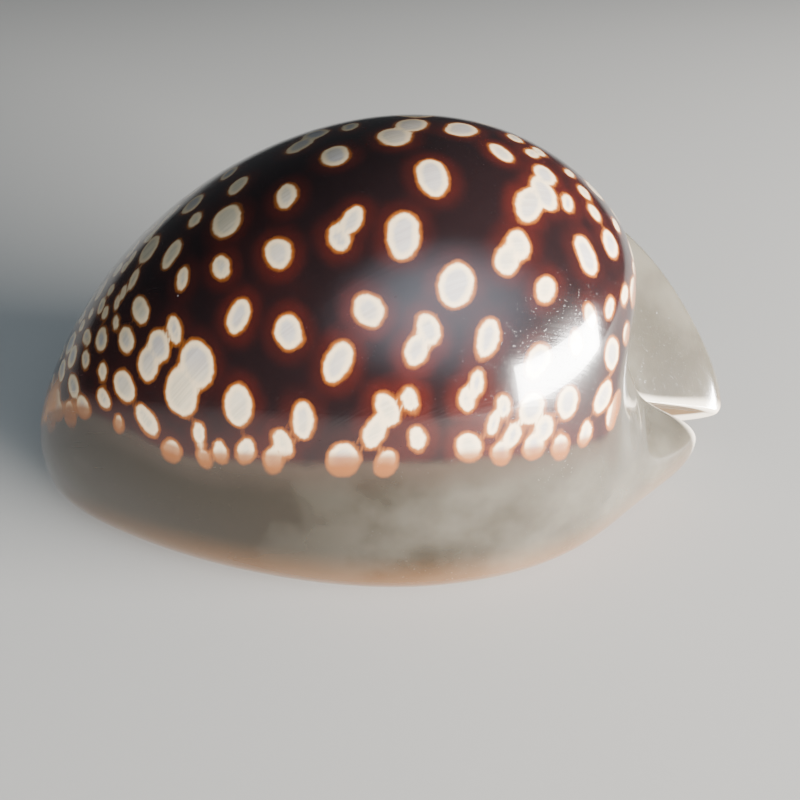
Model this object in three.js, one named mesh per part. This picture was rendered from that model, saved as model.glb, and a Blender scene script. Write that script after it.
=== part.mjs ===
// Humpback cowrie: one grown shell, in millimetres, +Z up, resting on its base.
// +X is the spire (rear) end, -Y the inner-lip side, +Y the outer-lip side.
// The wall is one closed C-shaped section, swept from the front pole to the rear pole.
// Its opening is the toothed slit along the base, and each pole is the tip of a canal notch.
import * as THREE from 'three';

// Body, pole to pole
const BODY_HALF = 35.4;        // half the distance between the poles, before the lips swell past them
const BODY_CENTRE = -5.3;      // middle of that distance
const HALF_WIDTH = 25.7;
const HEIGHT = 41.0;           // crest of the hump above the base
const MARGIN_Z = 6.9;          // height of the widest line, mid length
const REAR_POLE_Z = 11.3;
const FRONT_POLE_Z = 8.5;
const WIDTH_BLUNT = [0.605, 1.09];  // end roundness seen from above, front and rear
const HEIGHT_BLUNT = [1.14, 0.805]; // end roundness seen from the side, front and rear
const WIDTH_SKEW = 0.166;      // the widest place lies behind the middle
const HUMP_SKEW = 0.203;       // and so does the top of the hump
const FLANK = [0.88, 0.84];    // section above the margin, across and up
const SOLE = [0.62, 0.55];     // section below the margin, squarer
const SOLE_RISE = 0.42;        // how soon the base curls up towards the poles
const SOLE_SET = 0.75;         // worn flat by this much where the shell rests
const WORN = 0.12;             // and wherever it comes this close to the resting plane

// Slit and its teeth
const SLIT_HALF = 1.6, SLIT_FLARE = 2.2;  // the slit opens out by the flare at the rear
const LIP_ROUND = 1.1;         // radius rolled into the slit
const TOOTH_PITCH = 2.6;
const TOOTH_DEPTH = 0.5;       // furrow between two teeth
const TOOTH_REACH = [3.4, 4.4]; // how far the teeth run on to the base, inner lip and outer lip
const TOOTH_IN = 0.3;          // how far they stand into the slit
const TEETH = [-0.93, 0.84];   // first and last, as a share of the body half

// Rear outer lip: a lobe that climbs the far flank and stands past the canal
const LOBE = 12.4, LOBE_FOOT = 2.5, LOBE_CLIMB = 28.5, LOBE_STEP = 6.8, LOBE_EDGE = -5.2;
// Rear inner lip: a shorter tab on the other side of the canal
const TAB = 6.3, TAB_Y = -3.2, TAB_TOP = 13.0, TAB_SPAN = 7.5, TAB_INNER = 2.2, TAB_STEP = 6.5;
// Dimple over the sunken spire
const DIMPLE = 4.6, DIMPLE_Y = -3.5, DIMPLE_Z = 19.5, DIMPLE_W = 11.0, DIMPLE_H = 8.0;
// Front lips, hardly standing past the front notch
const FRONT_LIP = 1.6, FRONT_LIP_Y = 4.6, FRONT_LIP_Z = 4.5, FRONT_LIP_W = 3.4, FRONT_LIP_H = 4.5;

// Hollow
const CAVE_HALF = 29.0;        // inner pole to inner pole, halved
const CAVE_CENTRE = -6.0;
const WALL_SIDE = 4.6;
const WALL_TOP = 2.3;
const WALL_BASE = 4.3;
const CAVE_WIDEST_Z = 13.0, CAVE_POLE_Z = [8.5, 10.0];  // mid length, then front and rear
const CAVE_WIDTH_BLUNT = [0.72, 1.02], CAVE_HEIGHT_BLUNT = [1.3, 0.9], CAVE_SECTION = [0.9, 0.85];
const CAVE_SLIT_HALF = 2.1;
const RIM_HOLLOW = 0.25, RIM_HOLLOW_REAR = 1.0;  // how far the slit's walls are scooped out

// Mesh
const PITCHES_PER_BODY = 2 * BODY_HALF / TOOTH_PITCH;
const RINGS_PER_TOOTH = 4;
const FRONT_RINGS = [0, 0.006, 0.018, 0.038, 0.065, 0.1, 0.14, 0.19];  // ring size near each pole
const REAR_RINGS = [0, 0.025, 0.05, 0.08, 0.11, 0.14, 0.175, 0.21, 0.245, 0.28];
const LIP_ROWS = [0, 0.14, 0.5, 1.1, 2.2, 3.8];  // distance from the slit's edge
const FLANK_ROWS = 18;
const CAVE_ROWS = 12;
const RIM_ROWS = [0.3, 0.65];  // between the slit's outer and inner edges

const { abs, cos, exp, max, min, sin, sqrt, PI } = Math;
const clamp = (v, a, b) => min(b, max(a, v));
const mix = (a, b, t) => a + (b - a) * t;
const ease = (v) => { const t = clamp(v, 0, 1); return t * t * t * (t * (6 * t - 15) + 10); };
const signedPow = (v, e) => Math.sign(v) * abs(v) ** e;

// Slit centre line: towards the outer lip mid length, swinging to the inner lip at the rear.
function slitY(c) {
  const rear = clamp((c - 0.3) / 0.7, 0, 1), front = clamp((-c - 0.6) / 0.4, 0, 1);
  return 1.5 + 0.3 * c - 2.8 * rear * rear - 1.0 * front * front;
}

// The section at c, which runs from -1 at the front pole to 1 at the rear pole.
function section(c) {
  const r = sqrt(max(0, 1 - c * c)), t = (1 + c) / 2;
  const pole = mix(FRONT_POLE_Z, REAR_POLE_Z, t);
  const z = pole + (MARGIN_Z - pole) * r;
  const half = HALF_WIDTH * r ** mix(...WIDTH_BLUNT, t) * (1 + WIDTH_SKEW * c);
  const up = (HEIGHT - z) * r ** mix(...HEIGHT_BLUNT, t) * (1 + HUMP_SKEW * c);
  const slit = SLIT_HALF + SLIT_FLARE * ease((c - 0.72) / 0.2), q = half / slit;
  const edge = q < Math.SQRT2 ? half * sqrt(1 - q * q / 4) : slit;
  return { c, r, x: BODY_CENTRE + BODY_HALF * c, y: slitY(c), z, half, up, down: z * r ** SOLE_RISE,
    edge, full: ease(half / (3 * slit)) };
}

// How far the lips and the dimple carry the end of the shell along X.
function endShift(c, y, z) {
  const rear = ease(c + 0.1), front = ease(-c + 0.1);
  const dy = y - 3, dz = z - 6;
  const climb = dy * 0.555 + dz * 0.832, across = dy * 0.832 - dz * 0.555;
  const lobe = LOBE * exp(-((max(climb - LOBE_FOOT, 0) / LOBE_CLIMB) ** 2))
    * ease((across - LOBE_EDGE) / LOBE_STEP) * ease((z - 0.5) / 6);
  const tab = TAB * exp(-(((y - TAB_Y) / (y < TAB_Y ? TAB_SPAN : TAB_INNER)) ** 2))
    * ease((TAB_TOP - z) / TAB_STEP) * ease((z + 1.5) / 6);
  const dimple = DIMPLE * exp(-(((y - DIMPLE_Y) / DIMPLE_W) ** 2) - ((z - DIMPLE_Z) / DIMPLE_H) ** 2);
  const lips = FRONT_LIP * exp(-(((abs(y - 0.5) - FRONT_LIP_Y) / FRONT_LIP_W) ** 2)
    - ((z - FRONT_LIP_Z) / FRONT_LIP_H) ** 2);
  return rear * (lobe + tab - dimple) - front * lips;
}

// The base is worn flat, so that the shell stands still on one crisp face under each lip.
const settle = (z) => (z > WORN ? z : 0);

// A point of the outer skin. The angle is 0 on the crest and a half turn at the middle of the slit.
function skin(s, angle) {
  const a = sin(angle), b = cos(angle), above = b >= 0;
  const y = s.y + s.half * signedPow(a, above ? FLANK[0] : SOLE[0]);
  let z = s.z + (above ? s.up : s.down) * signedPow(b, above ? FLANK[1] : SOLE[1]);
  if (!above) z = settle(z - SOLE_SET * ease((0.86 - abs(s.c)) / 0.5) * b * b);
  return new THREE.Vector3(s.x + endShift(s.c, y, z), y, z);
}

// Angles of one side's rows, from the slit's edge to the crest: close together on the lip,
// then evenly spaced along the flank.
function sideAngles(s) {
  const reach = s.half > 0 ? min(1, (s.half - s.edge) / 11) : 0;
  const out = LIP_ROWS.map((d) => {
    const share = s.half > 0 ? clamp((s.edge + d * reach) / s.half, 0, 1) : 1;
    return PI - Math.asin(share ** (1 / SOLE[0]));
  });
  const from = out[out.length - 1], n = 160, along = [0];
  let last = skin(s, from);
  for (let i = 1; i <= n; i++) {
    const p = skin(s, from * (1 - i / n));
    along.push(along[i - 1] + p.distanceTo(last) + 1e-9);
    last = p;
  }
  for (let k = 1, i = 0; k <= FLANK_ROWS; k++) {
    const want = along[n] * k / FLANK_ROWS;
    while (i < n - 1 && along[i + 1] < want) i++;
    out.push(from * (1 - (i + (want - along[i]) / (along[i + 1] - along[i])) / n));
  }
  out[out.length - 1] = 0;
  return out;
}

// How much of a tooth stands at c: 1 on a crest, 0 in a furrow.
function tooth(c, side) {
  const phase = (c + 1) * PITCHES_PER_BODY / 2 + (side > 0 ? 0 : 0.5);
  const wave = 0.5 + 0.5 * cos(2 * PI * phase);
  return wave ** 0.7;
}
const toothed = (c) => ease((c - TEETH[0]) / 0.06) * ease((TEETH[1] - c) / 0.08);

// Half the hollow's width at a section, a point of its wall, and the angle of its slit's edge.
const caveHalf = (s) => (HALF_WIDTH - WALL_SIDE) * (1 + WIDTH_SKEW * s.c)
  * s.r ** mix(...CAVE_WIDTH_BLUNT, (1 + s.c) / 2);
function cave(s, angle) {
  const a = sin(angle), b = cos(angle), t = (1 + s.c) / 2;
  const z = mix(mix(...CAVE_POLE_Z, t), CAVE_WIDEST_Z, s.r);
  const up = (HEIGHT - WALL_TOP - z) * s.r ** mix(...CAVE_HEIGHT_BLUNT, t) * (1 + HUMP_SKEW * s.c);
  const down = (z - WALL_BASE) * s.r ** 0.6;
  const y = s.y + caveHalf(s) * signedPow(a, CAVE_SECTION[0]);
  return new THREE.Vector3(CAVE_CENTRE + CAVE_HALF * s.c, y,
    z + (b < 0 ? down : up) * signedPow(b, CAVE_SECTION[1]));
}
function caveEdge(s) {
  const q = caveHalf(s) / CAVE_SLIT_HALF;
  const share = q < Math.SQRT2 ? sqrt(1 - q * q / 4) : 1 / q;
  return q > 0 ? PI - Math.asin(clamp(share, 0, 1) ** (1 / CAVE_SECTION[0])) : PI / 2;
}

// Ring places: a whole number to each tooth, and closer together towards the poles. Every ring
// carries the lips. The flanks and the hollow use only the wide ones.
function ringPlaces() {
  const size = (r) => sqrt(1 - r * r), step = 2 / (PITCHES_PER_BODY * RINGS_PER_TOOTH);
  const front = -size(FRONT_RINGS.at(-1)), rear = size(REAR_RINGS.at(-1));
  const out = FRONT_RINGS.map((r) => ({ c: -size(r), wide: true }));
  for (let i = 1; -1 + i * step < rear - step / 2; i++) {
    const c = -1 + i * step;
    if (c > front + step / 2) out.push({ c, wide: c > 0.5 || i % (c > 0.3 || c < -0.8 ? 2 : 4) === 0 });
  }
  return [...out, ...REAR_RINGS.toReversed().map((r) => ({ c: size(r), wide: true }))];
}

// One side of the lips: the outer rows with the lip rolled in and the teeth raised.
function lipRows(s, side, angles, inward) {
  return angles.map((angle, j) => {
    const p = skin(s, angle * side), d = LIP_ROWS[j] ?? 99;
    const roll = d < LIP_ROUND ? LIP_ROUND - sqrt(LIP_ROUND ** 2 - (LIP_ROUND - d) ** 2) : 0;
    const teeth = toothed(s.c), crest = tooth(s.c, side);
    const reach = TOOTH_REACH[side > 0 ? 1 : 0];
    const furrow = TOOTH_DEPTH * teeth * (1 - crest) * ease(1.25 * (1 - d / reach));
    const stand = teeth * TOOTH_IN * (2 * crest - 1) * ease(1 - d / 1.2);
    p.x += inward.x * (roll + furrow) * s.full;
    p.z += inward.z * (roll + furrow) * s.full;
    p.y -= side * stand * s.full;
    return Object.assign(p, { c: s.c, angle: angle * side });
  });
}

function buildRings(places) {
  const sections = places.map(({ c }) => section(c));
  const angles = sections.map(sideAngles), caveFrom = sections.map(caveEdge);
  // Towards the hollow, square to the slit's edge, on each side.
  const inward = [-1, 1].map((side) => sections.map((s, i) => {
    const a = Math.max(0, i - 1), b = Math.min(sections.length - 1, i + 1);
    const p = skin(sections[a], angles[a][0] * side), q = skin(sections[b], angles[b][0] * side);
    const dx = q.x - p.x, dz = q.z - p.z, n = Math.hypot(dx, dz) || 1;
    return new THREE.Vector3(-dz / n, 0, dx / n);
  }));
  return sections.map((s, i) => {
    const inner = lipRows(s, -1, angles[i], inward[0][i]);
    const outer = lipRows(s, 1, angles[i], inward[1][i]);
    const ring = [...inner, ...outer.slice(0, -1).reverse()];
    const rim = (side, from) => {
      const to = cave(s, caveFrom[i] * side);
      return RIM_ROWS.map((t) => {
        const p = new THREE.Vector3().lerpVectors(from, to, t), teeth = toothed(s.c);
        p.y += side * mix(RIM_HOLLOW, RIM_HOLLOW_REAR, ease((s.c - 0.5) / 0.4)) * sin(PI * t) * s.full;
        p.y -= side * teeth * TOOTH_IN * (2 * tooth(s.c, side) - 1) * 0.6 * (1 - t) * s.full;
        return p;
      });
    };
    ring.push(...rim(1, outer[0]));
    for (let k = 0; k <= CAVE_ROWS; k++) ring.push(cave(s, caveFrom[i] * (1 - 2 * k / CAVE_ROWS)));
    ring.push(...rim(-1, inner[0]).reverse());
    return ring;
  });
}

// The real surface at the middle of four neighbours on the outer skin.
function middle(...corners) {
  const mean = (name) => corners.reduce((sum, p) => sum + p[name], 0) / corners.length;
  return skin(section(mean('c')), mean('angle'));
}

// A mesh that gives two points the same vertex where they meet, and leaves out faces with no area.
function weld() {
  const place = [], known = new Map(), index = [];
  const vertex = (p) => {
    const key = [p.x, p.y, p.z].map((v) => Math.round(v * 500)).join();
    if (!known.has(key)) { known.set(key, place.length); place.push(p); }
    return known.get(key);
  };
  const face = (...points) => {
    const [a, b, c] = points.map(vertex);
    if (a !== b && b !== c && c !== a) index.push(a, b, c);
  };
  return { place, index, face };
}

// One strip between two rows. A side may have more points than the other.
function strip(left, right, face) {
  for (let a = 0, b = 0; a + 1 < left.length || b + 1 < right.length;) {
    const p = left[a], q = right[b], nextP = left[a + 1], nextQ = right[b + 1];
    if (!nextQ || (nextP && nextP.distanceTo(q) < nextQ.distanceTo(p))) { face(p, nextP, q); a++; }
    else { face(p, nextQ, q); b++; }
  }
}

// Four neighbours, split along the diagonal that lies nearer the real surface.
function split(a, b, c, d, face) {
  const real = middle(a, b, c, d), off = (p, q) => p.clone().lerp(q, 0.5).distanceTo(real);
  if (off(a, c) < off(b, d) + 0.01) { face(a, b, c); face(a, c, d); }
  else { face(a, b, d); face(b, c, d); }
}

function buildShell() {
  const places = ringPlaces(), rings = buildRings(places), rows = rings[0].length;
  const { place, index, face } = weld();
  // Rows of the flanks, and of the hollow's wall, where only the wide rings are used.
  const flank = [LIP_ROWS.length - 1, LIP_ROWS.length - 1 + 2 * FLANK_ROWS];
  const wall = [flank[1] + LIP_ROWS.length + RIM_ROWS.length, rows - 1 - RIM_ROWS.length];
  const wide = places.flatMap((p, i) => (p.wide ? [i] : []));
  for (let w = 0; w + 1 < wide.length; w++) {
    const some = [rings[wide[w]], rings[wide[w + 1]]], every = rings.slice(wide[w], wide[w + 1] + 1);
    for (let j = 0; j < rows; j++) {
      const k = (j + 1) % rows, zone = [flank, wall].find(([a, b]) => j >= a && j < b);
      if (zone === flank && every.length === 2) {
        split(some[0][j], some[1][j], some[1][k], some[0][k], face);
      } else {
        const left = !zone || j === zone[0] ? every : some, right = !zone || k === zone[1] ? every : some;
        strip(left.map((ring) => ring[j]), right.map((ring) => ring[k]), face);
      }
    }
  }
  // The origin is under the middle of the shell, on the plane it rests on.
  const box = new THREE.Box3().setFromPoints(place), mid = box.getCenter(new THREE.Vector3());
  const shell = new THREE.BufferGeometry();
  shell.setAttribute('position', new THREE.Float32BufferAttribute(
    place.flatMap((p) => [p.x - mid.x, p.y - mid.y, p.z - box.min.z]), 3));
  shell.setIndex(index);
  shell.computeVertexNormals();
  return shell;
}

const polished = new THREE.MeshStandardMaterial({ color: 0x5a3a28, roughness: 0.15 });
const shell = new THREE.Mesh(buildShell(), polished);
shell.name = 'cowrie_shell';
const part = new THREE.Group();
part.name = 'humpback_cowrie';
part.add(shell);
export default part;
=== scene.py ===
import math
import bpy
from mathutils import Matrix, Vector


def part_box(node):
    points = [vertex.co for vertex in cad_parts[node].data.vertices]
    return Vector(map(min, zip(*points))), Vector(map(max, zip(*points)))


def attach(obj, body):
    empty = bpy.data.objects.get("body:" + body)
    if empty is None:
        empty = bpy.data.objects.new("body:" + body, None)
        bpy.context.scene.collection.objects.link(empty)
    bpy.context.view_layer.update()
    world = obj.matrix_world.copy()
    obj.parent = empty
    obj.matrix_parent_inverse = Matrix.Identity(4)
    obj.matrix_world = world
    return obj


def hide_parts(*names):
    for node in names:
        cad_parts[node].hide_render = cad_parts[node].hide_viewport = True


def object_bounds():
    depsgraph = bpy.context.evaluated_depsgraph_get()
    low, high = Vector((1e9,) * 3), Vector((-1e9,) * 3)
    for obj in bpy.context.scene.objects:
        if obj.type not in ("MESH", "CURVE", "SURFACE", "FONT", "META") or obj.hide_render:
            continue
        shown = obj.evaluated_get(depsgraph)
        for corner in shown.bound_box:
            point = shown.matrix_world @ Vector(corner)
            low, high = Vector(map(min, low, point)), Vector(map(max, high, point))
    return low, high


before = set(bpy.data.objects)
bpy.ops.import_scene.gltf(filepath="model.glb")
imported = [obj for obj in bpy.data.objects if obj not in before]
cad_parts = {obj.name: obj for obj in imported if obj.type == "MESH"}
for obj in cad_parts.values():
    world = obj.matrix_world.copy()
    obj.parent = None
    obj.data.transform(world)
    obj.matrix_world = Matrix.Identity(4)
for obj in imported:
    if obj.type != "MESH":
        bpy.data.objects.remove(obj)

from types import SimpleNamespace

import bpy
import numpy as np
from mathutils import Euler, Vector

bl_info = {
    "name": "Humpback cowrie",
    "version": (1, 0, 0),
    "blender": (4, 5, 0),
    "location": "3D View > Sidebar > Cowrie",
    "description": "Grows a polished humpback cowrie shell around its CAD node and sets it on a stage",
    "category": "Object",
}

NODE = "cowrie_shell"
CAD_LOW, CAD_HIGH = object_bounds()
MM = 0.001
VIEW_OFFSET = (1.15, -80.55, 44.15)     # camera from the middle of the shell, in mm
VIEW_DOWN, VIEW_TURN = 35, 0.2          # and how far it looks down and turns, in degrees
VIEW_LENS = 36                          # focal length and sensor width, in mm

# ---------------------------------------------------------------- the shell's form, in millimetres

# One C-shaped wall, swept from the front pole to the rear pole. Its opening is the toothed slit
# along the base. A station c runs from -1 at the front pole to 1 at the rear pole, and a turn runs
# from 0 on the crest to half a turn at the middle of the slit, negative on the inner-lip side.
BODY_HALF = 35.4
BODY_CENTRE = -5.3
HALF_WIDTH = 25.7
HEIGHT = 41.0
MARGIN_Z = 6.9                  # height of the widest line, mid length
POLE_Z = (8.5, 11.3)            # front, rear
WIDTH_BLUNT = (0.605, 1.09)
HEIGHT_BLUNT = (1.14, 0.805)
WIDTH_SKEW = 0.166
HUMP_SKEW = 0.203
FLANK = (0.88, 0.84)            # section above the widest line, across and up
SOLE = (0.62, 0.55)             # section below it, squarer
SOLE_RISE = 0.42
SOLE_SET = 0.75                 # worn flat by this much where the shell rests
WORN_SOFT = 0.15                # half the height over which the worn face rounds off

SLIT_HALF, SLIT_FLARE, SLIT_SWING = 1.6, 2.2, 2.8
LIP_ROUND = 1.1
TOOTH_PITCH = 2.6
TOOTH_REACH = (3.4, 4.4)        # inner lip, outer lip
TOOTH_IN = 0.3
TEETH = (-0.93, 0.84)           # stations of the first and last tooth
PITCHES_PER_BODY = 2 * BODY_HALF / TOOTH_PITCH

LOBE, LOBE_FOOT, LOBE_CLIMB, LOBE_STEP, LOBE_EDGE = 12.4, 2.5, 28.5, 6.8, -5.2
LOBE_ROOT, LOBE_WAY = (3, 6), (0.555, 0.832)    # across and up, where it starts and its direction
TAB, TAB_Y, TAB_TOP, TAB_SPAN, TAB_INNER, TAB_STEP = 6.3, -3.2, 13.0, 7.5, 2.2, 6.5
DIMPLE, DIMPLE_Y, DIMPLE_Z, DIMPLE_W, DIMPLE_H = 4.6, -3.5, 19.5, 11.0, 8.0
FRONT_LIP, FRONT_LIP_Y, FRONT_LIP_Z, FRONT_LIP_W, FRONT_LIP_H = 1.6, 4.6, 4.5, 3.4, 4.5

CAVE_HALF, CAVE_CENTRE = 29.0, -6.0
WALL_SIDE, WALL_TOP, WALL_BASE = 4.6, 2.3, 4.3
CAVE_WIDEST_Z, CAVE_POLE_Z = 13.0, (8.5, 10.0)
CAVE_WIDTH_BLUNT, CAVE_HEIGHT_BLUNT, CAVE_SECTION = (0.72, 1.02), (1.3, 0.9), (0.9, 0.85)
CAVE_SLIT_HALF = 2.1
RIM_HOLLOW, RIM_HOLLOW_REAR = 0.25, 1.0

# Rows of the mesh round one side, and the draw of the rings towards each pole
LIP_ROWS = np.array([0, 0.05, 0.15, 0.3, 0.5, 0.75, 1.05, 1.4, 1.8, 2.3, 2.9, 3.6, 4.4])
RIM_STEPS = 5
CAVE_ROWS = 26
POLE_DRAW = (0.02, 0.004)       # front, rear


def mix(pair, share):
    return pair[0] + (pair[1] - pair[0]) * share


def ease(value):
    t = np.clip(value, 0, 1)
    return t ** 3 * (t * (6 * t - 15) + 10)


def bell(value):
    return np.exp(-value ** 2)


def signed_power(value, power):
    return np.sign(value) * np.abs(value) ** power


def slit_y(c):
    rear, front = np.clip((c - 0.3) / 0.7, 0, 1), np.clip((-c - 0.6) / 0.4, 0, 1)
    return 1.5 + 0.3 * c - SLIT_SWING * rear ** 2 - 1.0 * front ** 2


def section(c):
    """The section's sizes at each station, as columns."""
    r = np.sqrt(np.maximum(0, 1 - c ** 2))
    share = (1 + c) / 2
    pole = mix(POLE_Z, share)
    z = pole + (MARGIN_Z - pole) * r
    half = HALF_WIDTH * r ** mix(WIDTH_BLUNT, share) * (1 + WIDTH_SKEW * c)
    up = (HEIGHT - z) * r ** mix(HEIGHT_BLUNT, share) * (1 + HUMP_SKEW * c)
    slit = SLIT_HALF + SLIT_FLARE * ease((c - 0.72) / 0.2)
    q = half / slit
    edge = np.where(q < math.sqrt(2), half * np.sqrt(np.maximum(0, 1 - q * q / 4)), slit)
    return SimpleNamespace(c=c, r=r, share=share, x=BODY_CENTRE + BODY_HALF * c, y=slit_y(c), z=z,
                           half=half, up=up, down=z * r ** SOLE_RISE, edge=edge,
                           full=ease(half / (3 * slit)))


def end_shift(c, y, z):
    """How far the lips and the dimple carry the ends of the shell along X."""
    root_y, root_z = LOBE_ROOT
    way_y, way_z = LOBE_WAY
    climb = (y - root_y) * way_y + (z - root_z) * way_z
    across = (y - root_y) * way_z - (z - root_z) * way_y
    lobe = (LOBE * bell(np.maximum(climb - LOBE_FOOT, 0) / LOBE_CLIMB)
            * ease((across - LOBE_EDGE) / LOBE_STEP) * ease((z - 0.5) / 6))
    tab = (TAB * bell((y - TAB_Y) / np.where(y < TAB_Y, TAB_SPAN, TAB_INNER))
           * ease((TAB_TOP - z) / TAB_STEP) * ease((z + 1.5) / 6))
    dimple = DIMPLE * bell((y - DIMPLE_Y) / DIMPLE_W) * bell((z - DIMPLE_Z) / DIMPLE_H)
    lips = (FRONT_LIP * bell((np.abs(y - 0.5) - FRONT_LIP_Y) / FRONT_LIP_W)
            * bell((z - FRONT_LIP_Z) / FRONT_LIP_H))
    return ease(c + 0.1) * (lobe + tab - dimple) - ease(-c + 0.1) * lips


def settle(z):
    """The base is worn flat where it would reach below the resting plane."""
    rounded = (z + WORN_SOFT) ** 2 / (4 * WORN_SOFT)
    return np.where(z > WORN_SOFT, z, np.where(z < -WORN_SOFT, 0, rounded))


def skin(s, turn):
    """Points of the outer skin, for sections s and turns in radians."""
    a, b = np.sin(turn), np.cos(turn)
    above = b >= 0
    y = s.y + s.half * np.where(above, signed_power(a, FLANK[0]), signed_power(a, SOLE[0]))
    top = s.z + s.up * signed_power(b, FLANK[1])
    sole = s.z + s.down * signed_power(b, SOLE[1])
    worn = settle(sole - SOLE_SET * ease((0.86 - np.abs(s.c)) / 0.5) * b * b)
    z = np.where(above, top, worn)
    return np.stack([s.x + end_shift(s.c, y, z), y, z], axis=-1)


def side_turns(s, flank_rows):
    """Turns of one side's rows, from the slit's edge to the crest: close together on the lip, then
    evenly spaced along the flank."""
    size = np.maximum(s.half, 1e-9)
    reach = np.clip((s.half - s.edge) / 11, 0, 1)
    share = np.where(s.half > 0, np.clip((s.edge + LIP_ROWS * reach) / size, 0, 1), 1)
    lip = math.pi - np.arcsin(share ** (1 / SOLE[0]))
    steps = np.linspace(1, 0, 241)
    fine = lip[:, -1:] * steps
    way = skin(s, fine)
    length = np.cumsum(np.linalg.norm(np.diff(way, axis=1), axis=-1) + 1e-9, axis=1)
    length = np.hstack([np.zeros((len(length), 1)), length])
    want = np.arange(1, flank_rows + 1) / flank_rows
    flank = [np.interp(want * along[-1], along, turns) for along, turns in zip(length, fine)]
    return np.hstack([lip, flank])


def tooth(c, side):
    """1 on a tooth's crest and 0 in the furrow beside it."""
    phase = (c + 1) * PITCHES_PER_BODY / 2 + (0 if side > 0 else 0.5)
    return (0.5 + 0.5 * np.cos(2 * math.pi * phase)) ** 0.7


def toothed(c):
    return ease((c - TEETH[0]) / 0.06) * ease((TEETH[1] - c) / 0.08)


def lip_rows(s, side, turns, depth):
    """One side's outer rows, with the lip rolled in and the teeth raised."""
    points = skin(s, turns * side)
    edge = points[:, 0]
    run = np.gradient(edge, axis=0)[:, [0, 2]]
    run /= np.maximum(np.linalg.norm(run, axis=1, keepdims=True), 1e-9)
    d = np.full(turns.shape[1], 99.0)
    d[:len(LIP_ROWS)] = LIP_ROWS
    under = np.maximum(LIP_ROUND - d, 0)
    roll = LIP_ROUND - np.sqrt(LIP_ROUND ** 2 - under ** 2)
    teeth, crest = toothed(s.c), tooth(s.c, side)
    furrow = depth * teeth * (1 - crest) * ease(1.25 * (1 - d / TOOTH_REACH[side > 0]))
    stand = teeth * TOOTH_IN * (2 * crest - 1) * ease(1 - d / 1.2)
    sink = (roll + furrow) * s.full
    points[..., 0] -= run[:, 1:] * sink
    points[..., 2] += run[:, :1] * sink
    points[..., 1] -= side * stand * s.full
    return points


def cave(s, turn):
    """Points of the hollow's wall."""
    a, b = np.sin(turn), np.cos(turn)
    z = mix((mix(CAVE_POLE_Z, s.share), CAVE_WIDEST_Z), s.r)
    up = (HEIGHT - WALL_TOP - z) * s.r ** mix(CAVE_HEIGHT_BLUNT, s.share) * (1 + HUMP_SKEW * s.c)
    down = (z - WALL_BASE) * s.r ** 0.6
    y = s.y + cave_half(s) * signed_power(a, CAVE_SECTION[0])
    rise = z + np.where(b < 0, down, up) * signed_power(b, CAVE_SECTION[1])
    return np.stack([CAVE_CENTRE + CAVE_HALF * s.c + 0 * y, y, rise], axis=-1)


def cave_half(s):
    return (HALF_WIDTH - WALL_SIDE) * (1 + WIDTH_SKEW * s.c) * s.r ** mix(CAVE_WIDTH_BLUNT, s.share)


def cave_edge(s):
    q = cave_half(s) / CAVE_SLIT_HALF
    wide = 1 / np.maximum(q, 1e-9)
    narrow = np.sqrt(np.maximum(0, 1 - q * q / 4))
    share = np.clip(np.where(q < math.sqrt(2), narrow, wide), 0, 1)
    return np.where(q > 0, math.pi - np.arcsin(share ** (1 / CAVE_SECTION[0])), math.pi / 2)


def rim(s, side, start, turn):
    """The slit's wall, between the outer lip and the hollow."""
    end = cave(s, turn * side)
    t = (np.arange(RIM_STEPS) + 1)[None, :, None] / (RIM_STEPS + 1)
    points = start[:, None] * (1 - t) + end * t
    scoop = mix((RIM_HOLLOW, RIM_HOLLOW_REAR), ease((s.c - 0.5) / 0.4)) * np.sin(math.pi * t[..., 0])
    stand = toothed(s.c) * TOOTH_IN * (2 * tooth(s.c, side) - 1) * 0.6 * (1 - t[..., 0])
    points[..., 1] += side * (scoop - stand) * s.full
    return points


def ring_stations(count):
    """Stations from pole to pole, closer together towards the poles."""
    def drawn(u, draw):
        return u * u / (u + draw) * (1 + draw)
    u = drawn(np.linspace(0, 1, count + 1), POLE_DRAW[0])
    u = 1 - drawn(1 - u, POLE_DRAW[1])
    return -np.cos(math.pi * u)[:, None]


def grow_rings(rings, flank_rows, tooth_depth):
    """The wall's points ring by ring, with each point's turn (none on the rim and in the hollow)."""
    s = section(ring_stations(rings))
    turns = side_turns(s, flank_rows)
    inner = lip_rows(s, -1, turns, tooth_depth)
    outer = lip_rows(s, 1, turns, tooth_depth)[:, ::-1][:, 1:]
    edge = cave_edge(s)
    hollow = cave(s, edge * np.linspace(1, -1, CAVE_ROWS + 1))
    points = np.concatenate([inner, outer, rim(s, 1, outer[:, -1], edge), hollow,
                             rim(s, -1, inner[:, 0], edge)[:, ::-1]], axis=1)
    return s, points, np.hstack([-turns, turns[:, ::-1][:, 1:]])


# ---------------------------------------------------------------- the pattern on the glaze

# The callus's upper edge, in degrees down from the crest: low along the sides, up over the back at
# the rear end, and on the far side also in one broad sweep behind the hump. Stations are in mm.
EDGE_FRONT, EDGE_SIDE = 57, 73
EDGE_SINKS = (-38, -16)
EDGE_CLIMBS = (21, 28)
SWEEP, SWEEP_AT, SWEEP_SPAN = 46, 17, 9

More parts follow.
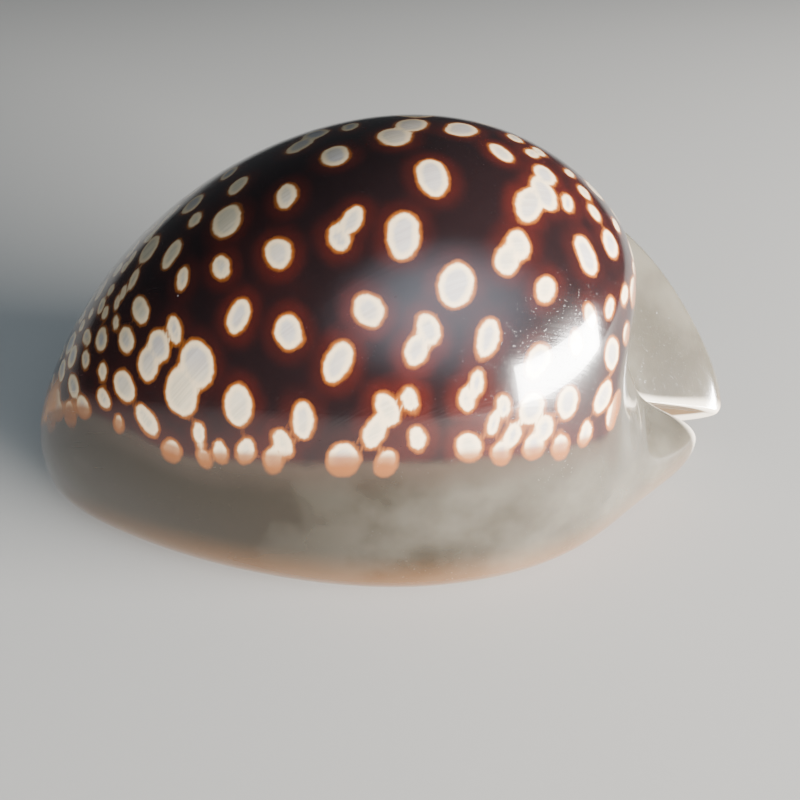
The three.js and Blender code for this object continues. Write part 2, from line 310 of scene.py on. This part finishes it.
# Pale spots, scattered: big and well apart on the hump, small and crowded towards the front, closer
# towards the rear and down along the callus. Sizes are half lengths in mm.
SPOT_RUN = (-37, 26)
SPOT_TRIES = 6000
SPOT_SIZE = (1.5, 2.9)
SPOT_SHAPE = (0.58, 0.85)       # width over length
SPOT_LEAN = 30
CROWD_FRONT, CROWD_FADE = -12, 16    # the front's crowding starts here and grows over this length
CROWD_REAR, CROWD_REAR_FADE = 3, 26  # and the rear's, which stays weaker
CROWD_BAND = 20                 # degrees above the callus where the spots crowd
CROWD_SHRINK = 0.38
SPOT_GAP = (1.6, -0.5)          # between neighbours on the hump, and where they crowd
SPOT_BURIED = 1.5               # degrees that a spot's middle may lie under the callus
TWINS = 0.16                    # share of the spots with a twin grown on to them
TWIN_ALONG, TWIN_DOWN = 0.7, 2.2    # how far off the twin lies for its size, in mm and degrees
SPOT_MERGE = 0.25               # mm over which two spots that touch flow together
FAR = 9.0                       # mm past which a distance from a spot or the callus no longer counts


def callus_edge(stations, near):
    """Degrees down from the crest at which the callus starts."""
    sunk, climbed = (ease((stations - start) / (end - start)) for start, end in (EDGE_SINKS, EDGE_CLIMBS))
    sweep = np.where(near, 0, SWEEP * bell((stations - SWEEP_AT) / SWEEP_SPAN))
    return (mix((EDGE_FRONT, EDGE_SIDE), sunk) - sweep) * (1 - climbed)


def scatter_spots(seed):
    """Spots of the whole back as station, degrees down on the near side, two half sizes and lean."""
    rng = np.random.default_rng(seed)
    stations = rng.uniform(*SPOT_RUN, SPOT_TRIES)
    degrees = rng.uniform(-EDGE_SIDE, EDGE_SIDE, SPOT_TRIES)
    edges = callus_edge(stations, degrees > 0)
    crowds = np.clip(np.maximum.reduce([(CROWD_FRONT - stations) / CROWD_FADE,
                                        (stations - CROWD_REAR) / CROWD_REAR_FADE,
                                        (np.abs(degrees) - edges) / CROWD_BAND + 1]), 0, 1)
    sizes = rng.uniform(*SPOT_SIZE, SPOT_TRIES) * (1 - CROWD_SHRINK * crowds)
    shapes = rng.uniform(*SPOT_SHAPE, SPOT_TRIES)
    leans = rng.uniform(-SPOT_LEAN, SPOT_LEAN, SPOT_TRIES)
    twinned = rng.uniform(size=SPOT_TRIES) < TWINS
    places = skin_points(stations, degrees)
    gaps = mix(SPOT_GAP, crowds)
    taken, spots = [], []
    for k in np.flatnonzero(np.abs(degrees) < edges + SPOT_BURIED):
        held = np.array(taken, int)
        apart = np.linalg.norm(places[held] - places[k], axis=1)
        if (apart > sizes[k] + sizes[held] + gaps[k]).all():
            taken.append(k)
            spots.append((stations[k], degrees[k], sizes[k], sizes[k] * shapes[k], leans[k]))
            if twinned[k]:
                spots.append((stations[k] + TWIN_ALONG * sizes[k], degrees[k] - TWIN_DOWN * sizes[k],
                              sizes[k], sizes[k] * shapes[k], -leans[k]))
    return spots


def skin_points(stations, degrees):
    """The outer skin at places along the shell, degrees down from the crest on the near side."""
    c = (np.asarray(stations, float) - BODY_CENTRE) / BODY_HALF
    return skin(section(c[:, None]), -np.radians(np.asarray(degrees, float))[:, None])[:, 0]


def skin_point(station, degrees):
    return skin_points([station], [degrees])[0]


def spot_field(points, spots):
    """Distance in mm from the nearest spot's edge, positive inside it. Spots that touch grow together."""
    field = np.full(len(points), -FAR)
    step = 0.3
    for station, degrees, tall, wide, lean in spots:
        centre = skin_point(station, degrees)
        along = skin_point(station + step, degrees) - skin_point(station - step, degrees)
        along /= np.linalg.norm(along)
        down = skin_point(station, degrees + step) - skin_point(station, degrees - step)
        down -= along * (down @ along)
        down /= np.linalg.norm(down)
        tilt = math.radians(lean)
        away = points - centre
        near = np.linalg.norm(away, axis=1) < 2.5 * max(tall, wide) + 3
        u = away[near] @ (down * math.cos(tilt) + along * math.sin(tilt))
        v = away[near] @ (along * math.cos(tilt) - down * math.sin(tilt))
        size = np.hypot(u / tall, v / wide)
        slope = np.hypot(u / tall ** 2, v / wide ** 2)
        inside = np.where(size > 1e-3, (1 - size) * size / np.maximum(slope, 1e-6), min(tall, wide))
        old = field[near]
        meet = np.maximum(SPOT_MERGE - np.abs(old - inside), 0) / SPOT_MERGE
        field[near] = np.maximum(old, inside) + meet ** 2 * SPOT_MERGE / 4
    return field


def callus_field(points, s, turns):
    """Distance in mm from the callus's edge, positive on the callus, over the grid of the outer skin."""
    degrees = np.degrees(np.abs(turns))
    station = np.repeat(s.x, turns.shape[1], axis=1)
    past = degrees - callus_edge(station, turns < 0)
    down = np.linalg.norm(np.gradient(points, axis=1), axis=-1)
    along = np.linalg.norm(np.gradient(points, axis=0), axis=-1)
    slope = np.hypot(np.gradient(past, axis=1) / np.maximum(down, 1e-3),
                     np.gradient(past, axis=0) / np.maximum(along, 1e-3))
    return np.clip(past / np.maximum(slope, 2.0), -FAR, FAR)


# ---------------------------------------------------------------- mesh

def weld(points):
    """One number for all the points that meet in one place."""
    keys = np.round(points * 500).astype(np.int64)
    _, first, same = np.unique(keys, axis=0, return_index=True, return_inverse=True)
    return first, same.reshape(-1)


def wall_faces(rings, rows, same):
    """Faces between neighbouring rings as vertex numbers, and each corner's place on a flat map."""
    i, j = np.meshgrid(np.arange(rings - 1), np.arange(rows), indexing="ij")
    i, j = i.ravel(), j.ravel()
    corners = [(i, j), (i + 1, j), (i + 1, j + 1), (i, j + 1)]
    quads = np.stack([same[a * rows + b % rows] for a, b in corners], axis=1)
    flat = np.stack([np.stack([a / (rings - 1), b / rows], axis=1) for a, b in corners], axis=1)
    faces, places = [], []
    for quad, place in zip(quads.tolist(), flat):
        keep = [k for k in range(4) if quad[k] != quad[k - 1]]
        if len(keep) > 2 and len({quad[k] for k in keep}) == len(keep):
            faces.append([quad[k] for k in keep])
            places.append(place[keep])
    return faces, np.concatenate(places)


def wall_marks(s, points, turns, seed):
    """What the glaze needs to know at each point: distances in mm from spots, callus and slit."""
    rings, rows = points.shape[:2]
    outer = turns.shape[1]
    crest = outer // 2
    skin_part = points[:, :outer]
    step = np.linalg.norm(np.diff(skin_part, axis=1), axis=-1)
    length = np.hstack([np.zeros((rings, 1)), np.cumsum(step, axis=1)])
    down = np.full((rings, rows), 60.0)
    down[:, :outer] = np.abs(length - length[:, crest:crest + 1])
    lip = np.empty((rings, rows))
    lip[:, :outer] = np.minimum(length, length[:, -1:] - length)
    inside = points[:, outer:]
    from_inner = np.linalg.norm(inside - points[:, :1], axis=-1)
    from_outer = np.linalg.norm(inside - points[:, outer - 1:outer], axis=-1)
    lip[:, outer:] = -np.minimum(from_inner, from_outer)
    spots = np.full((rings, rows), -FAR)
    spots[:, :outer] = spot_field(skin_part.reshape(-1, 3), scatter_spots(seed)).reshape(rings, outer)
    callus = np.full((rings, rows), FAR)
    callus[:, :outer] = callus_field(skin_part, s, turns)
    teeth = np.zeros((rings, rows))
    for side, part in ((-1, slice(0, crest)), (1, slice(crest, outer))):
        reach = TOOTH_REACH[side > 0]
        fade = ease(1.25 * (1 - lip[:, part] / reach))
        teeth[:, part] = toothed(s.c) * tooth(s.c, side) * fade
    return {"spot": spots, "callus": callus, "lip": lip, "tooth": teeth, "down": down}


def shell_mesh(form):
    """The shell's mesh in metres, in the place of the CAD node."""
    s, points, turns = grow_rings(form.rings, form.flank_rows, form.tooth_depth / MM)
    rings, rows = points.shape[:2]
    marks = wall_marks(s, points, turns, form.seed)
    flat = points.reshape(-1, 3)
    first, same = weld(flat)
    faces, places = wall_faces(rings, rows, same)
    low, high = flat.min(axis=0), flat.max(axis=0)
    cad_low, cad_high = (np.array(corner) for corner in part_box(NODE))
    middle = (low + high) / 2
    target = (cad_low + cad_high) / 2
    place = (flat[first] - middle) * MM + target
    place[:, 2] = flat[first][:, 2] * MM + cad_low[2]
    mesh = bpy.data.meshes.new("cowrie_glazed_shell")
    mesh.from_pydata(place.tolist(), [], faces)
    for name, values in marks.items():
        layer = mesh.attributes.new(name, "FLOAT", "POINT")
        layer.data.foreach_set("value", values.reshape(-1)[first].astype(np.float32))
    chart = mesh.uv_layers.new(name="OFBake")
    chart.data.foreach_set("uv", places.astype(np.float32).ravel())
    mesh.shade_smooth()
    mesh.validate()
    return mesh


# ---------------------------------------------------------------- shader helpers

def node(tree, kind, inputs=(), **settings):
    """A new node. Each input is a value, or another node's socket to link."""
    new = tree.nodes.new(kind)
    for name, value in settings.items():
        setattr(new, name, value)
    for name, value in dict(inputs).items():
        if isinstance(value, bpy.types.NodeSocket):
            tree.links.new(value, new.inputs[name])
        else:
            new.inputs[name].default_value = value
    return new


def calc(tree, operation, a, b=0.0, c=0.0):
    return node(tree, "ShaderNodeMath", {0: a, 1: b, 2: c}, operation=operation).outputs[0]


def ramp(tree, value, low, high):
    """0 at low and 1 at high, smooth between."""
    inputs = {"Value": value, "From Min": low, "From Max": high}
    return node(tree, "ShaderNodeMapRange", inputs, interpolation_type="SMOOTHSTEP").outputs["Result"]


def blend(tree, share, a, b, how="MIX"):
    inputs = {0: share, 6: a, 7: b}
    return node(tree, "ShaderNodeMix", inputs, data_type="RGBA", blend_type=how).outputs[2]


def noise(tree, place, scale, detail=2.0, stretch=None):
    """Noise about 0.5. The scale is in features to the metre."""
    if stretch:
        place = node(tree, "ShaderNodeVectorMath", {0: place, 1: stretch}, operation="MULTIPLY").outputs[0]
    inputs = {"Vector": place, "Scale": scale, "Detail": detail, "Roughness": 0.55}
    return node(tree, "ShaderNodeTexNoise", inputs).outputs["Fac"]


def group(name, inputs, outputs):
    """An empty node group with these sockets, and the nodes at its two ends."""
    tree = bpy.data.node_groups.new(name, "ShaderNodeTree")
    for label, kind, value in inputs:
        socket = tree.interface.new_socket(label, in_out="INPUT", socket_type="NodeSocket" + kind)
        if value is not None:
            socket.default_value = value
    for label, kind in outputs:
        tree.interface.new_socket(label, in_out="OUTPUT", socket_type="NodeSocket" + kind)
    return tree, node(tree, "NodeGroupInput").outputs, node(tree, "NodeGroupOutput").inputs


def spots_group():
    """Pale spots with an orange halo and a red-brown shadow, from the distance to a spot's edge."""
    tree, given, result = group("Ocellated spots", [
        ("Place", "Vector", None), ("Distance", "Float", 0.0), ("Halo", "Float", 0.45)],
        [("Spot", "Float"), ("Core", "Float"), ("Halo", "Float"), ("Shadow", "Float")])
    wander = calc(tree, "MULTIPLY_ADD", noise(tree, given["Place"], 420), 0.66, -0.33)
    fray = calc(tree, "MULTIPLY_ADD", noise(tree, given["Place"], 1900), 0.16, -0.08)
    edge = calc(tree, "ADD", calc(tree, "ADD", given["Distance"], wander), fray)
    outer = calc(tree, "MULTIPLY", given["Halo"], -1.0)
    links = {
        "Spot": ramp(tree, edge, 0.04, 0.32),
        "Core": ramp(tree, edge, 0.35, 0.95),
        "Halo": ramp(tree, edge, outer, 0.14),
        "Shadow": ramp(tree, edge, -1.9, -0.1),
    }
    for label, socket in links.items():
        tree.links.new(socket, result[label])
    return tree


def growth_group():
    """Fine growth lines that run along the shell and lean down towards the front."""
    tree, given, result = group("Growth lines", [
        ("Place", "Vector", None), ("Down", "Float", 0.0), ("Lean", "Float", 0.45)], [("Lines", "Float")])
    along = node(tree, "ShaderNodeSeparateXYZ", {0: given["Place"]}).outputs["X"]
    shift = calc(tree, "MULTIPLY", calc(tree, "MULTIPLY", along, 1000.0), given["Lean"])
    across = calc(tree, "ADD", given["Down"], shift)
    place = node(tree, "ShaderNodeCombineXYZ", {"X": calc(tree, "MULTIPLY", along, 60.0), "Y": across})
    fine = noise(tree, place.outputs[0], 3.2, 3.0)
    broad = noise(tree, place.outputs[0], 0.9, 1.0)
    mixed = calc(tree, "MULTIPLY_ADD", fine, 0.65, calc(tree, "MULTIPLY", broad, 0.35))
    tree.links.new(ramp(tree, mixed, 0.36, 0.64), result["Lines"])
    return tree


def handling_group():
    """Hair scratches, dull rubs and specks of dust, as a mask and a height."""
    tree, given, result = group("Handling marks", [
        ("Place", "Vector", None)], [("Rubs", "Float"), ("Scratches", "Float"), ("Specks", "Float")])
    rubs = ramp(tree, noise(tree, given["Place"], 140, 4.0), 0.45, 0.75)
    hair = None
    for turn in ((0.3, 0.2, 0.5), (1.1, 0.7, 2.0)):
        turned = node(tree, "ShaderNodeVectorRotate", {"Vector": given["Place"], "Rotation": turn},
                      rotation_type="EULER_XYZ").outputs[0]
        line = ramp(tree, noise(tree, turned, 1.0, 1.0, (90, 5200, 5200)), 0.705, 0.76)
        hair = line if hair is None else calc(tree, "MAXIMUM", hair, line)
    cells = node(tree, "ShaderNodeTexVoronoi", {"Vector": given["Place"], "Scale": 260.0}, feature="F1")
    pick = node(tree, "ShaderNodeSeparateColor", {0: cells.outputs["Color"]}).outputs[0]
    near_middle = ramp(tree, cells.outputs["Distance"], 0.032, 0.014)
    dots = calc(tree, "MULTIPLY", near_middle, ramp(tree, pick, 0.8, 0.82))
    tree.links.new(rubs, result["Rubs"])
    tree.links.new(hair, result["Scratches"])
    tree.links.new(dots, result["Specks"])
    return tree


def placed(tree, made, inputs):
    """A node group placed in a material."""
    holder = tree.nodes.new("ShaderNodeGroup")
    holder.node_tree = made
    for name, value in inputs.items():
        if isinstance(value, bpy.types.NodeSocket):
            tree.links.new(value, holder.inputs[name])
        else:
            holder.inputs[name].default_value = value
    return holder.outputs


# ---------------------------------------------------------------- materials

def glaze(colours, finish):
    """The whole shell's glaze: dark spotted back, callus with painted shade towards the front and a painted
    warm reflection near the base, lips, teeth and the hollow inside.
    """
    material = bpy.data.materials.new("cowrie_glaze")
    material.use_nodes = True
    tree = material.node_tree
    tree.nodes.clear()
    mark = {name: node(tree, "ShaderNodeAttribute", attribute_name=name).outputs["Fac"]
            for name in ("spot", "callus", "lip", "tooth", "down")}
    place = node(tree, "ShaderNodeTexCoord").outputs["Object"]
    axes = node(tree, "ShaderNodeSeparateXYZ", {0: place}).outputs
    along = calc(tree, "MULTIPLY", axes["X"], 1 / MM)
    height = calc(tree, "MULTIPLY", axes["Z"], 1 / MM)
    spots = placed(tree, spots_group(), {"Place": place, "Distance": mark["spot"], "Halo": finish.halo / MM})
    lines = placed(tree, growth_group(), {"Place": place, "Down": mark["down"]})["Lines"]
    wear = placed(tree, handling_group(), {"Place": place})

    # Back: near-black brown, redder around the spots and in broad clouds
    cloud = noise(tree, place, 55, 3.0)
    red = calc(tree, "MULTIPLY", spots["Shadow"], ramp(tree, cloud, 0.25, 0.7))
    red = calc(tree, "MAXIMUM", red, calc(tree, "MULTIPLY", ramp(tree, cloud, 0.55, 0.8), 0.35))
    back = blend(tree, red, (*colours.back, 1), (*colours.back_red, 1))
    back = blend(tree, spots["Halo"], back, (*colours.halo, 1))
    warm = ramp(tree, noise(tree, place, 75, 1.0), 0.42, 0.62)
    core = blend(tree, warm, (*colours.spot_cool, 1), (*colours.spot_warm, 1))
    core = blend(tree, calc(tree, "MULTIPLY", lines, finish.lines), core, (0.25, 0.22, 0.2, 1))
    pale = blend(tree, spots["Core"], (*colours.spot_edge, 1), core)
    back = blend(tree, spots["Spot"], back, pale)
    front = calc(tree, "MULTIPLY", ramp(tree, along, -33.8, -35.4), ramp(tree, mark["callus"], -5.5, -2.5))
    arm = calc(tree, "MULTIPLY", ramp(tree, along, -29.0, -33.0), ramp(tree, mark["callus"], -1.6, -0.5))
    front = calc(tree, "MAXIMUM", front, calc(tree, "MULTIPLY", arm, 0.6))
    back = blend(tree, front, back, (*colours.front_tip, 1))

    # Callus: thin and smoky over the pattern's edge, then opaque; painted shade darkens it towards the front
    # over random smoky clouds, and a painted warm reflection tints it down at the rim
    ragged = calc(tree, "MULTIPLY_ADD", noise(tree, place, 260, 3.0), 1.6, -0.8)
    over = calc(tree, "ADD", mark["callus"], ragged)
    cover = ramp(tree, over, -0.5, 0.7)
    thick = ramp(tree, over, 0.0, 3.5)
    # Painted shade: the callus darkens towards the front, with random smoky clouds mixed in
    shade_and_smoke = calc(tree, "MULTIPLY", ramp(tree, along, 28.0, -16.0), 0.88)
    shade_and_smoke = calc(tree, "MULTIPLY_ADD", ramp(tree, noise(tree, place, 70, 4.0), 0.38, 0.66), 0.5, shade_and_smoke)
    shade_and_smoke = calc(tree, "MINIMUM", shade_and_smoke, 1.0)
    body = blend(tree, shade_and_smoke, (*colours.callus, 1), (*colours.callus_shade_and_smoke, 1))
    # Painted reflection: a warm floor reflection tints the callus from 9 mm height down to the base
    body = blend(tree, ramp(tree, height, 9.0, 0.8), body, (*colours.rim, 1))
    callus = blend(tree, thick, (*colours.callus_thin, 1), body)
    buried = calc(tree, "MULTIPLY", spots["Halo"], ramp(tree, mark["callus"], -1.1, -0.3))
    buried = calc(tree, "MULTIPLY", buried, ramp(tree, mark["callus"], 2.2, 0.6))
    skin_colour = blend(tree, cover, back, callus)
    skin_colour = blend(tree, calc(tree, "MULTIPLY", buried, 0.85), skin_colour, (*colours.buried, 1))

    # Lips, teeth and the hollow
    pale_lip = calc(tree, "MULTIPLY", ramp(tree, mark["lip"], 2.6, 0.4), 0.85)
    skin_colour = blend(tree, pale_lip, skin_colour, (*colours.lip, 1))
    skin_colour = blend(tree, calc(tree, "MULTIPLY", mark["tooth"], 0.75), skin_colour, (*colours.tooth, 1))
    rear = ramp(tree, along, 22.0, 30.0)
    throat = blend(tree, rear, (*colours.hollow, 1), (*colours.canal, 1))
    skin_colour = blend(tree, ramp(tree, mark["lip"], -0.3, -1.5), skin_colour, throat)
    skin_colour = blend(tree, calc(tree, "MULTIPLY", wear["Specks"], 0.5), skin_colour, (0.7, 0.68, 0.65, 1))

    dull = calc(tree, "MULTIPLY_ADD", wear["Rubs"], 0.05, finish.roughness)
    dull = calc(tree, "MULTIPLY_ADD", wear["Scratches"], 0.12, dull)
    dull = calc(tree, "MULTIPLY_ADD", wear["Specks"], 0.4, dull)
    waves = noise(tree, place, 120, 2.0)
    relief = calc(tree, "MULTIPLY_ADD", waves, 1.0, calc(tree, "MULTIPLY", lines, 0.03))
    relief = calc(tree, "MULTIPLY_ADD", wear["Scratches"], -0.05, relief)
    bump = node(tree, "ShaderNodeBump", {"Strength": 1.0, "Distance": 0.00008, "Height": relief})
    shader = node(tree, "ShaderNodeBsdfPrincipled", {
        "Base Color": skin_colour, "Roughness": dull, "IOR": 1.53, "Normal": bump.outputs[0],
        "Coat Weight": 0.6, "Coat Roughness": 0.03,
        "Subsurface Weight": 0.06, "Subsurface Radius": (1.0, 0.5, 0.3), "Subsurface Scale": 0.0012})
    out = node(tree, "ShaderNodeOutputMaterial")
    tree.links.new(shader.outputs[0], out.inputs["Surface"])
    return material


def floor_paper(colour):
    """Pale matt paper with a faint tooth."""
    material = bpy.data.materials.new("stage_paper")
    material.use_nodes = True
    tree = material.node_tree
    shader = tree.nodes["Principled BSDF"]
    place = node(tree, "ShaderNodeTexCoord").outputs["Object"]
    tooth_of_paper = noise(tree, place, 900, 3.0)
    shade = blend(tree, calc(tree, "MULTIPLY", tooth_of_paper, 0.06), (*colour, 1), (0.3, 0.3, 0.3, 1))
    tree.links.new(shade, shader.inputs["Base Color"])
    shader.inputs["Roughness"].default_value = 0.85
    return material


# ---------------------------------------------------------------- settings a user may change

def colour_of(label, about, value):
    return bpy.props.FloatVectorProperty(name=label, description=about, default=value, size=3,
                                         min=0, max=1, subtype="COLOR")


def length_of(label, about, value):
    return bpy.props.FloatProperty(name=label, description=about, default=value, unit="LENGTH",
                                   subtype="DISTANCE", precision=5)


class CowrieForm(bpy.types.PropertyGroup):
    rings: bpy.props.IntProperty(name="Rings", description="Sections from pole to pole", default=320, min=60)
    flank_rows: bpy.props.IntProperty(name="Flank rows", default=96, min=10,
                                      description="Rows on each side, from the lip to the crest")
    tooth_depth: length_of("Tooth depth", "Furrow between two teeth", 0.0005)
    seed: bpy.props.IntProperty(name="Seed", description="Scatter of the spots", default=11)


class CowrieColours(bpy.types.PropertyGroup):
    back: colour_of("Back", "Glaze of the back", (0.010, 0.0055, 0.0060))
    back_red: colour_of("Back, red", "Glaze of the back around the spots", (0.046, 0.0080, 0.0065))
    halo: colour_of("Halo", "Ring round each spot", (0.24, 0.072, 0.011))
    spot_edge: colour_of("Spot edge", "Rim inside the halo", (0.80, 0.62, 0.38))
    spot_cool: colour_of("Spot, cool", "Middle of the greyer spots", (0.46, 0.42, 0.39))
    spot_warm: colour_of("Spot, warm", "Middle of the yellower spots", (0.66, 0.55, 0.38))
    front_tip: colour_of("Front tip", "Bare glaze at the front end", (0.70, 0.27, 0.07))
    callus: colour_of("Callus", "Thick glaze of the sides", (0.108, 0.098, 0.078))
    # Painted shade: callus colour towards the front, where the side lies in shade, mixed with random smoky
    # clouds
    callus_shade_and_smoke: colour_of("Callus, dark", "Smoky glaze towards the front", (0.018, 0.0125, 0.0065))
    callus_thin: colour_of("Callus, thin", "Thin glaze over the pattern's edge", (0.045, 0.031, 0.022))
    # Painted reflection: colour of a warm floor reflection on the callus near the base
    rim: colour_of("Rim", "Glaze where the side turns under", (0.17, 0.080, 0.030))
    buried: colour_of("Buried spots", "Spots seen through the callus", (0.24, 0.078, 0.018))
    lip: colour_of("Lip", "Edges of the slit and the canals", (0.72, 0.64, 0.52))
    tooth: colour_of("Tooth", "Crests of the teeth", (0.30, 0.13, 0.05))
    canal: colour_of("Canal", "Inside of the rear canal", (0.13, 0.080, 0.038))
    hollow: colour_of("Hollow", "Inside of the shell", (0.42, 0.37, 0.40))


class CowrieFinish(bpy.types.PropertyGroup):
    halo: length_of("Halo width", "How far a spot's orange ring spreads", 0.0003)
    lines: bpy.props.FloatProperty(name="Growth lines", description="Strength of the lines in the spots",
                                   default=0.35, min=0, max=1, subtype="FACTOR")
    roughness: bpy.props.FloatProperty(name="Roughness", description="Roughness under the polish",
                                       default=0.14, min=0, max=1, subtype="FACTOR")


class CowrieStage(bpy.types.PropertyGroup):
    floor_size: length_of("Floor size", "Width of the floor", 4.0)
    floor_colour: colour_of("Floor colour", "Paper under the shell", (0.46, 0.45, 0.43))
    window: bpy.props.FloatProperty(name="Window light", description="Light at the rear right",
                                    default=50.0, unit="POWER")
    sky: bpy.props.FloatProperty(name="Sky light", description="Broad light above the camera",
                                 default=10.0, unit="POWER")
    air: bpy.props.FloatProperty(name="Air", description="Brightness all round", default=0.05, min=0)


# ---------------------------------------------------------------- operators

class COWRIE_OT_shell(bpy.types.Operator):
    """Grow the shell in the place of its CAD node"""
    bl_idname = "cowrie.shell"
    bl_label = "Grow shell"

    def execute(self, context):
        scene = context.scene
        shell = bpy.data.objects.new("glazed_shell", shell_mesh(scene.cowrie_form))
        scene.collection.objects.link(shell)
        shell.data.materials.append(glaze(scene.cowrie_colours, scene.cowrie_finish))
        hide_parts(NODE)
        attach(shell, "root")
        return {"FINISHED"}


def area_light(name, power, colour, size, bearing, rise, distance):
    """A soft light that faces the shell. Bearing is in degrees from +Y towards +X."""
    lamp = bpy.data.lights.new(name, "AREA")
    lamp.shape = "RECTANGLE"
    lamp.size, lamp.size_y = size
    lamp.energy, lamp.color = power, colour
    holder = bpy.data.objects.new(name, lamp)
    turn, lift = math.radians(bearing), math.radians(rise)
    way = Vector((math.sin(turn) * math.cos(lift), math.cos(turn) * math.cos(lift), math.sin(lift)))
    aim = (Vector(CAD_LOW) + Vector(CAD_HIGH)) / 2
    holder.location = aim + way * distance
    holder.rotation_euler = way.to_track_quat("Z", "Y").to_euler()
    bpy.context.scene.collection.objects.link(holder)
    return holder


def soften(holder):
    """Fades a light out towards its edges, so that its reflection has none."""
    holder.data.use_nodes = True
    tree = holder.data.node_tree
    glow = tree.nodes["Emission"]
    where = node(tree, "ShaderNodeNewGeometry").outputs["Parametric"]
    away = node(tree, "ShaderNodeVectorMath", {0: where, 1: (0.5, 0.5, 0.0)}, operation="SUBTRACT")
    flat = node(tree, "ShaderNodeVectorMath", {0: away.outputs[0], 1: (1.0, 1.0, 0.0)}, operation="MULTIPLY")
    radius = node(tree, "ShaderNodeVectorMath", {0: flat.outputs[0]}, operation="LENGTH").outputs["Value"]
    tree.links.new(calc(tree, "MULTIPLY", ramp(tree, radius, 0.5, 0.05), 4.0), glow.inputs["Strength"])
    return holder


class COWRIE_OT_stage(bpy.types.Operator):
    """Lay the floor and set the lights and the camera"""
    bl_idname = "cowrie.stage"
    bl_label = "Set stage"

    def execute(self, context):
        scene = context.scene
        stage = scene.cowrie_stage
        half = stage.floor_size / 2
        mesh = bpy.data.meshes.new("stage_floor")
        mesh.from_pydata([(-half, -half, 0), (half, -half, 0), (half, half, 0), (-half, half, 0)], [],
                         [(0, 1, 2, 3)])
        floor = bpy.data.objects.new("stage_floor", mesh)
        floor.location.z = CAD_LOW[2]
        mesh.materials.append(floor_paper(stage.floor_colour))
        scene.collection.objects.link(floor)
        area_light("window_light", stage.window, (1.0, 0.97, 0.93), (0.52, 0.17), 119, 5, 0.6)
        soften(area_light("sky_light", stage.sky, (0.72, 0.87, 1.0), (2.2, 1.8), 160, 42, 1.2))
        world = bpy.data.worlds.new("stage_air")
        world.use_nodes = True
        world.node_tree.nodes["Background"].inputs["Color"].default_value = (0.8, 0.84, 0.9, 1)
        world.node_tree.nodes["Background"].inputs["Strength"].default_value = stage.air
        scene.world = world
        lens = bpy.data.cameras.new("view")
        lens.sensor_width, lens.lens, lens.clip_start = VIEW_LENS, VIEW_LENS, 0.005
        camera = bpy.data.objects.new("view", lens)
        middle = (Vector(CAD_LOW) + Vector(CAD_HIGH)) / 2
        camera.location = middle + Vector(VIEW_OFFSET) * MM
        camera.rotation_euler = Euler((math.radians(90 - VIEW_DOWN), 0, math.radians(VIEW_TURN)))
        scene.collection.objects.link(camera)
        scene.camera = camera
        return {"FINISHED"}


class COWRIE_PT_panel(bpy.types.Panel):
    """Sizes, colours and steps of the cowrie"""
    bl_label = "Cowrie"
    bl_idname = "COWRIE_PT_panel"
    bl_space_type = "VIEW_3D"
    bl_region_type = "UI"
    bl_category = "Cowrie"

    def draw(self, context):
        scene, layout = context.scene, self.layout
        for settings in (scene.cowrie_form, scene.cowrie_colours, scene.cowrie_finish, scene.cowrie_stage):
            box = layout.box()
            for name in settings.bl_rna.properties.keys():
                if name not in ("rna_type", "name"):
                    box.prop(settings, name)
        layout.operator(COWRIE_OT_shell.bl_idname)
        layout.operator(COWRIE_OT_stage.bl_idname)


SETTINGS = {"cowrie_form": CowrieForm, "cowrie_colours": CowrieColours,
            "cowrie_finish": CowrieFinish, "cowrie_stage": CowrieStage}
CLASSES = (*SETTINGS.values(), COWRIE_OT_shell, COWRIE_OT_stage, COWRIE_PT_panel)


def register():
    for cls in CLASSES:
        bpy.utils.register_class(cls)
    for name, cls in SETTINGS.items():
        setattr(bpy.types.Scene, name, bpy.props.PointerProperty(type=cls))


def unregister():
    for name in SETTINGS:
        delattr(bpy.types.Scene, name)
    for cls in reversed(CLASSES):
        bpy.utils.unregister_class(cls)


def main():
    register()
    bpy.ops.cowrie.stage()
    bpy.ops.cowrie.shell()


if __name__ == "__main__":
    main()
